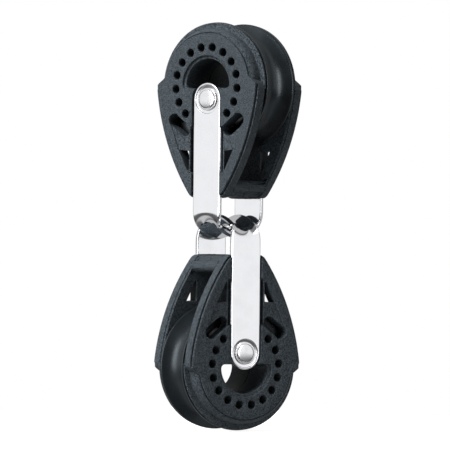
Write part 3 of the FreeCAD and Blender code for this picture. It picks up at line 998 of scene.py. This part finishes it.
@dataclass
class BallRows:
    """Both rows of balls of one block, repeated round a ring by a node tree."""

    frame: BlockFrame
    count: int = 17
    ring: float = 8.69
    ball: float = 1.5875
    row: float = 2.6

    @staticmethod
    def tree() -> bpy.types.GeometryNodeTree:
        """The node tree, made once: two rings of balls, realised and given a material."""
        known = bpy.data.node_groups.get("ball_rows")
        if known:
            return known
        group = bpy.data.node_groups.new("ball_rows", "GeometryNodeTree")
        nodes = NodeTree(group)
        for name, kind in (("Count", "Int"), ("Ring Radius", "Float"), ("Ball Radius", "Float"),
                           ("Row Height", "Float"), ("Finish", "Material")):
            group.interface.new_socket(name, in_out="INPUT", socket_type=f"NodeSocket{kind}")
        group.interface.new_socket("Geometry", in_out="OUTPUT", socket_type="NodeSocketGeometry")
        given = nodes.add("NodeGroupInput").outputs
        ring = nodes.add("GeometryNodeMeshCircle",
                         {"Vertices": given["Count"], "Radius": given["Ring Radius"]})
        ball = nodes.add("GeometryNodeMeshIcoSphere",
                         {"Radius": given["Ball Radius"], "Subdivisions": 5})
        down = nodes.add("ShaderNodeMath", {0: given["Row Height"], 1: -1.0},
                         operation="MULTIPLY")
        join = nodes.add("GeometryNodeJoinGeometry")
        for height in (given["Row Height"], down.outputs[0]):
            place = nodes.add("ShaderNodeCombineXYZ", {"Z": height})
            row = nodes.add("GeometryNodeTransform",
                            {"Geometry": ring.outputs["Mesh"], "Translation": place.outputs[0]})
            group.links.new(row.outputs["Geometry"], join.inputs["Geometry"])
        balls = nodes.add("GeometryNodeInstanceOnPoints",
                          {"Points": join.outputs["Geometry"], "Instance": ball.outputs["Mesh"]})
        real = nodes.add("GeometryNodeRealizeInstances", {"Geometry": balls.outputs["Instances"]})
        soft = nodes.add("GeometryNodeSetShadeSmooth", {"Geometry": real.outputs["Geometry"]})
        coat = nodes.add("GeometryNodeSetMaterial",
                         {"Geometry": soft.outputs["Geometry"], "Material": given["Finish"]})
        output = nodes.add("NodeGroupOutput")
        group.links.new(coat.outputs["Geometry"], output.inputs["Geometry"])
        return group

    def build(self) -> None:
        """Make both rows as one mesh."""
        name = self.frame.node("balls")
        piece = place_mesh(bpy.data.meshes.new(f"{name}_seed"), f"{name}_rows", Matrix())
        values = {"Count": self.count, "Ring Radius": self.ring, "Ball Radius": self.ball,
                  "Row Height": self.row, "Finish": BALL_ACETAL.material()}
        modifier = piece.modifiers.new("rows", "NODES")
        modifier.node_group = self.tree()
        for item in modifier.node_group.interface.items_tree:
            if item.item_type == "SOCKET" and item.in_out == "INPUT":
                modifier[item.identifier] = values[item.name]
        bake(piece)
        turn = Matrix.Rotation(math.radians(270), 4, "Z")
        piece.data.transform(self.frame.matrix @ turn)
        show(piece, BALL_ACETAL, name, self.frame.node("front_balls"),
             self.frame.node("back_balls"))


@dataclass
class Strap:
    """One strip of steel: two flat legs with eyes, joined by a bow curled across."""

    frame: BlockFrame
    half: float = 3.8
    thick: float = 1.1
    outer: float = 8.56
    pin: Point = (0.0, 3.16)
    hole: float = 1.65
    seat: float = 3.27
    seat_depth: float = 0.3
    leg_end: float = 27.6
    ring_height: float = 32.0
    gap: float = 0.3
    corner: float = 2.4
    corner_turn: float = 60.0
    saddle: float = 3.5
    flare_lead: float = 0.8
    flare_length: float = 2.6
    almost_flat: float = 228.0
    eye_reach: float = 3.4
    eye_rounding: float = 0.1
    edge_rounding: float = 0.28
    across: int = 20

    def parts(self) -> list[float]:
        """Places across the strip, from -1 to 1."""
        return [2 * i / self.across - 1 for i in range(self.across + 1)]

    def leg(self) -> bpy.types.Mesh:
        """The front leg as a closed solid."""
        eye = arc(self.pin, self.half, 180, 360, 72)
        end = [(self.half * part, self.leg_end) for part in reversed(self.parts())]
        zones = [
            Zone(Act.FILL, eye + end, self.outer - self.thick, self.outer),
            Zone(Act.TRIM, circle(self.pin, self.seat, 72), None, self.outer - self.seat_depth),
            Zone(Act.HOLE, circle(self.pin, self.hole, 48)),
        ]
        return ReliefSolid(zones).mesh("strap_leg", keep_above=self.leg_end - 0.01)

    def stations(self) -> np.ndarray:
        """Middle line of the bow, from the leg to the middle: height, place along Y and curl."""
        turn = math.radians(self.corner_turn)
        leg = self.outer - self.thick / 2
        bottom = -(self.gap + self.thick) / 2
        corner_end = leg - self.corner * (1 - math.cos(turn))
        slope = math.pi / 2 - turn
        belly = corner_end / math.sin(slope)
        low = bottom + belly * (1 - math.cos(slope))
        high = low + self.corner * math.sin(turn)
        foot = self.ring_height - self.leg_end
        places = [(leg, foot + (high - foot) * i / 8) for i in range(8)]
        for i in range(28):
            angle = turn * i / 28
            places.append((leg - self.corner * (1 - math.cos(angle)),
                           high - self.corner * math.sin(angle)))
        for i in range(25):
            lean = slope * (1 - i / 24)
            places.append((belly * math.sin(lean), bottom + belly * (1 - math.cos(lean))))
        result = []
        for height, level in places:
            done = min(max((high + self.flare_lead - level) / self.flare_length, 0.0), 1.0)
            result.append((height, self.ring_height - level, done * done * (3 - 2 * done)))
        result[0] = (*result[0][:2], 0.0)
        return np.array(result)

    def skin(self) -> np.ndarray:
        """Middle surface of the front half of the bow, as an array of rows of points."""
        parts = np.array(self.parts())
        rows = []
        for height, along, curl in self.stations():
            if curl < 1e-6:
                rows.append([(self.half * part, along, height) for part in parts])
                continue
            radius = 1 / (curl / self.saddle + (1 - curl) / self.almost_flat)
            swing = self.half / radius * parts
            rows.append([(radius * math.sin(a), along + radius * (1 - math.cos(a)), height)
                         for a in swing])
        return np.array(rows)

    def rings(self) -> list[list[Vector]]:
        """Cross-sections of the bow from leg to leg, inner side first."""
        middle = self.skin()
        back = middle[-2::-1] * np.array((1, 1, -1))
        whole = np.concatenate((middle, back))
        lengthwise = np.gradient(whole, axis=0)
        lengthwise[0], lengthwise[-1] = (0, 1, 0), (0, -1, 0)
        crosswise = np.gradient(whole, axis=1)
        normal = np.cross(crosswise, lengthwise)
        normal /= np.linalg.norm(normal, axis=2, keepdims=True)
        outer = whole + normal * self.thick / 2
        inner = whole - normal * self.thick / 2
        return [[Vector(p) for p in low] + [Vector(p) for p in high[::-1]]
                for low, high in zip(inner, outer)]

    def rounding(self, x: float, y: float, _: float) -> float:
        """Radius of the edge at a place: finer round the rivet's seat."""
        near = math.hypot(x - self.pin[0], y - self.pin[1]) < self.eye_reach
        return self.eye_rounding if near else self.edge_rounding

    def build(self) -> None:
        """Make the strap."""
        name = self.frame.node("strap")
        shell = bmesh.new()
        leg = self.leg()
        shell.from_mesh(leg)
        leg.transform(Matrix.Rotation(math.pi, 4, "Y"))
        shell.from_mesh(leg)
        bpy.data.meshes.remove(leg)
        ends = [f for f in shell.faces
                if all(v.co.y > self.leg_end - 0.001 for v in f.verts)]
        bmesh.ops.delete(shell, geom=ends, context="FACES")
        rings = [[shell.verts.new(point) for point in ring] for ring in self.rings()]
        for here, there in zip(rings, rings[1:]):
            for i in range(len(here)):
                j = (i + 1) % len(here)
                shell.faces.new((here[i], there[i], there[j], here[j]))
        bmesh.ops.remove_doubles(shell, verts=shell.verts[:], dist=1e-3)
        bmesh.ops.recalc_face_normals(shell, faces=shell.faces[:])
        mesh = bpy.data.meshes.new(name)
        shell.to_mesh(mesh)
        shell.free()
        weigh_edges(mesh, self.rounding)
        piece = place_mesh(mesh, f"{name}_strip", self.frame.matrix)
        round_edges(piece, 4)
        show(piece, STRAP_STEEL, f"{self.frame.side.value}_frame", name)


@dataclass
class CentreRivet:
    """The rivet through the whole block, with its two washers."""

    frame: BlockFrame
    height: float = 3.16
    radius: float = 1.6
    head: float = 2.2
    rise: float = 0.42
    seat: float = 8.56
    washer: float = 2.56
    washer_thick: float = 0.3
    washer_play: float = 0.05
    dome_share: float = 0.86
    edge_share: float = 0.72
    edge_curve: tuple[Point, ...] = ((0.93, 0.98), (0.98, 0.80), (1.0, 0.5))
    foot_bevel: float = 0.04

    def rivet_section(self) -> list[Point]:
        """Half section of the rivet, from its low end to its high end."""
        edge = self.rise * self.edge_share
        top = self.rise - edge
        dome = (self.head ** 2 + top ** 2) / (top * 2)
        centre = self.seat + self.rise - dome
        half = []
        for i in range(13):
            reach = self.head * self.dome_share * i / 12
            half.append((reach, centre + math.sqrt(dome ** 2 - reach ** 2)))
        half += [(self.head * out, self.seat + edge * up) for out, up in self.edge_curve]
        half += [(self.head, self.seat + self.foot_bevel),
                 (self.head - self.foot_bevel, self.seat), (self.radius, self.seat)]
        return [(r, -h) for r, h in half] + [(r, h) for r, h in reversed(half)]

    def build(self) -> None:
        """Make the rivet and its washers."""
        name = self.frame.node("centre_rivet")
        body = f"{self.frame.side.value}_frame"
        matrix = self.frame.matrix @ Matrix.Translation((0, self.height, 0))
        mesh = lathe(f"{name}_turned", self.rivet_section(), 96)
        smooth(mesh)
        rivet = place_mesh(mesh, f"{name}_pin", matrix)
        show(rivet, RIVET_STEEL, body, name)
        low, high = self.seat - self.washer_thick, self.seat
        bore = self.radius + self.washer_play
        ring = rounded_section([(bore, low, 0.03), (self.washer, low, 0.05),
                                (self.washer, high, 0.08), (bore, high, 0.05)])
        shell = bmesh.new()
        for section in (ring, [(r, -h) for r, h in reversed(ring)]):
            part = lathe("washer", section, 96)
            shell.from_mesh(part)
            bpy.data.meshes.remove(part)
        mesh = bpy.data.meshes.new("washers")
        shell.to_mesh(mesh)
        shell.free()
        smooth(mesh)
        name = self.frame.node("rivet_washers")
        washers = place_mesh(mesh, f"{name}_pair", matrix)
        show(washers, RIVET_STEEL, body, name)


@dataclass
class SheaveBlock:
    """One of the two blocks, with everything on it."""

    frame: BlockFrame

    def build(self) -> None:
        """Make every piece of the block."""
        for face in Face:
            Cheek(self.frame, face).build()
        for kind in (Sheave, BallRows, Strap, CentreRivet):
            kind(self.frame).build()


# ---------------------------------------------------------------- studio


def direction(azimuth: float, lift: float) -> Vector:
    """Unit vector out towards two angles in radians, azimuth from -Y towards +X."""
    return Vector((math.sin(azimuth) * math.cos(lift), -math.cos(azimuth) * math.cos(lift),
                   math.sin(lift)))


@dataclass(frozen=True)
class ViewAxis:
    """Where the camera looks from: angles in degrees and lengths in metres."""

    azimuth: float = 36.52
    elevation: float = -0.306
    roll: float = -0.573
    distance: float = 0.9976
    shift_right: float = 0.000695
    shift_up: float = -0.000313
    lens: float = 348.56

    def axes(self) -> tuple[Vector, Vector, Vector]:
        """Right, up and back directions, the camera's roll left out."""
        azimuth = math.radians(self.azimuth)
        right = Vector((math.cos(azimuth), math.sin(azimuth), 0))
        back = direction(azimuth, math.radians(self.elevation))
        return right, back.cross(right), back

    def camera(self) -> None:
        """Make the camera."""
        right0, up0, back = self.axes()
        roll = math.radians(self.roll)
        right = right0 * math.cos(roll) - up0 * math.sin(roll)
        up = right0 * math.sin(roll) + up0 * math.cos(roll)
        place = back * self.distance - right * self.shift_right - up * self.shift_up
        data = bpy.data.cameras.new("camera")
        data.lens = self.lens
        data.sensor_width = 36
        data.clip_start = 0.01
        data.clip_end = 20
        camera = bpy.data.objects.new("camera", data)
        camera.matrix_world = Matrix.Translation(place) @ Matrix(
            (right, up, back)).transposed().to_4x4()
        bpy.context.scene.collection.objects.link(camera)
        bpy.context.scene.camera = camera


@dataclass(frozen=True)
class SoftBox:
    """One soft area light.

    Args:
        name: Name of the light.
        turn: Angle from the view axis about the vertical, in degrees, positive to the right.
        lift: Angle above the horizon, in degrees.
        size: Width and height in metres.
        power: Power in watts.
        in_gloss: Whether polished surfaces mirror it.
        away: Distance in metres.
    """

    name: str
    turn: float
    lift: float
    size: tuple[float, float]
    power: float
    in_gloss: bool = True
    away: float = 0.6

    def place(self, axis: ViewAxis) -> None:
        """Make the light, facing the middle of the object."""
        data = bpy.data.lights.new(self.name, "AREA")
        data.shape = "RECTANGLE"
        data.size, data.size_y = self.size
        data.energy = self.power
        back = direction(math.radians(axis.azimuth + self.turn), math.radians(self.lift))
        light = bpy.data.objects.new(self.name, data)
        light.matrix_world = Matrix.Translation(back * self.away) @ back.to_track_quat(
            "Z", "Y").to_matrix().to_4x4()
        light.visible_glossy = self.in_gloss
        bpy.context.scene.collection.objects.link(light)


@dataclass
class Studio:
    """Plain pale floor, soft lights and surroundings.

    Args:
        axis: The camera's view.
        floor_height: Level of the floor in metres.
        floor_half: Half the floor's side in metres.
        round_about: Brightness at each angle from the view axis, in degrees, right positive.
        by_height: Brightness from straight down to straight up, 0 to 1.
        behind: Least brightness at each angle from the view axis.
        lights: The lights.
    """

    axis: ViewAxis = field(default_factory=ViewAxis)
    floor_height: float = -0.0468
    floor_half: float = 0.11
    round_about: tuple[tuple[float, float], ...] = (
        (-180, 0.10), (-110, 0.10), (-96, 0.60), (-84, 0.95), (-62, 0.95), (-42, 0.26),
        (0, 0.20), (38, 0.26), (49, 0.95), (69, 0.95), (80, 0.12), (180, 0.12))
    by_height: tuple[tuple[float, float], ...] = (
        (0.0, 0.55), (0.26, 0.6), (0.33, 0.10), (0.44, 0.12), (0.48, 1.0), (1.0, 0.9))
    behind: tuple[tuple[float, float], ...] = (
        (-180, 0.50), (-114, 0.50), (-106, 0.0), (82, 0.0), (92, 0.50), (180, 0.50))
    lights: tuple[SoftBox, ...] = (
        SoftBox("key", -56.0, 40.0, (0.26, 0.26), 13.0, False),
        SoftBox("top", -10.0, 80.0, (0.30, 0.30), 1.8, False),
        SoftBox("left_strip", -50.0, 14.0, (0.22, 0.50), 1.6),
        SoftBox("right_strip", 38.0, 12.0, (0.15, 0.45), 1.1),
    )

    def build(self) -> None:
        """Make the camera, lights, surroundings and floor."""
        self.axis.camera()
        for light in self.lights:
            light.place(self.axis)
        self.world()
        self.floor()
        bpy.context.scene.view_settings.view_transform = "Standard"

    def world(self) -> None:
        """White where the camera looks; elsewhere two bright panels and soft light behind."""
        world = bpy.data.worlds.new("surroundings")
        world.use_nodes = True
        nodes = NodeTree(world.node_tree)
        place = nodes.add("ShaderNodeTexCoord").outputs["Generated"]
        right, _, back = self.axis.axes()
        along = nodes.add("ShaderNodeVectorMath", {0: place, 1: back}, operation="DOT_PRODUCT")
        across = nodes.add("ShaderNodeVectorMath", {0: place, 1: right}, operation="DOT_PRODUCT")
        turn = nodes.add("ShaderNodeMath", {0: across.outputs["Value"],
                                            1: along.outputs["Value"]}, operation="ARCTAN2")
        share = nodes.add("ShaderNodeMath", {0: turn.outputs[0], 1: 0.5 / math.pi, 2: 0.5},
                          operation="MULTIPLY_ADD")
        front = nodes.ramp(share.outputs[0],
                           [(0.5 + angle / 360, level) for angle, level in self.round_about])
        height = nodes.add("ShaderNodeSeparateXYZ", {"Vector": place}).outputs["Z"]
        lift = nodes.add("ShaderNodeMath", {0: height, 1: 0.5, 2: 0.5}, operation="MULTIPLY_ADD")
        level = nodes.ramp(lift.outputs[0], self.by_height)
        light = nodes.add("ShaderNodeMath", {0: front, 1: level}, operation="MULTIPLY").outputs[0]
        behind = nodes.ramp(share.outputs[0],
                            [(0.5 + angle / 360, level) for angle, level in self.behind])
        light = nodes.add("ShaderNodeMath", {0: light, 1: behind}, operation="MAXIMUM").outputs[0]
        around = nodes.add("ShaderNodeBackground", {"Color": light, "Strength": 1.0})
        white = nodes.add("ShaderNodeBackground", {"Color": (1, 1, 1, 1), "Strength": 1.0})
        seen = nodes.add("ShaderNodeLightPath").outputs["Is Camera Ray"]
        mix = nodes.add("ShaderNodeMixShader", {0: seen, 1: around.outputs[0],
                                                2: white.outputs[0]})
        output = nodes.add("ShaderNodeOutputWorld")
        world.node_tree.links.new(mix.outputs[0], output.inputs["Surface"])
        bpy.context.scene.world = world

    def floor(self) -> None:
        """A plain pale floor just under the object, left out of mirror images."""
        mesh = bpy.data.meshes.new("floor")
        half, z = self.floor_half, self.floor_height
        mesh.from_pydata([(-half, -half, z), (half, -half, z), (half, half, z), (-half, half, z)],
                         [], [(0, 1, 2, 3)])
        floor = bpy.data.objects.new("floor", mesh)
        bpy.context.scene.collection.objects.link(floor)
        material = bpy.data.materials.new("floor_white")
        material.use_nodes = True
        shader = material.node_tree.nodes["Principled BSDF"]
        shader.inputs["Base Color"].default_value = (0.2, 0.2, 0.2, 1)
        shader.inputs["Roughness"].default_value = 0.9
        shader.inputs["Specular IOR Level"].default_value = 0.1
        shader.inputs["Emission Color"].default_value = (1, 1, 1, 1)
        shader.inputs["Emission Strength"].default_value = 0.9
        mesh.materials.append(material)
        floor.visible_glossy = False
        floor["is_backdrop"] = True


# ---------------------------------------------------------------- the scene


def dress_hidden(frame: dict) -> None:
    """Give the CAD nodes that stay shown, under the straps, their finish."""
    for side in Side:
        node = frame["nodes"][f"{side.value}_head_rivet"]
        node.data.materials.clear()
        node.data.materials.append(RIVET_STEEL.material())


def note_size(moment: str, known: dict[str, list]) -> None:
    low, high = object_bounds()
    known[moment] = [list(low), list(high)]


def main() -> None:
    """Build the scene."""
    logging.basicConfig(level=logging.INFO, format="%(name)s: %(message)s")
    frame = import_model()
    sizes: dict[str, list] = {}
    note_size("loaded", sizes)
    Studio().build()
    for side in Side:
        SheaveBlock(BlockFrame.from_joints(side, frame["joints"])).build()
    dress_hidden(frame)
    note_size("finished", sizes)


if __name__ == "__main__":
    main()
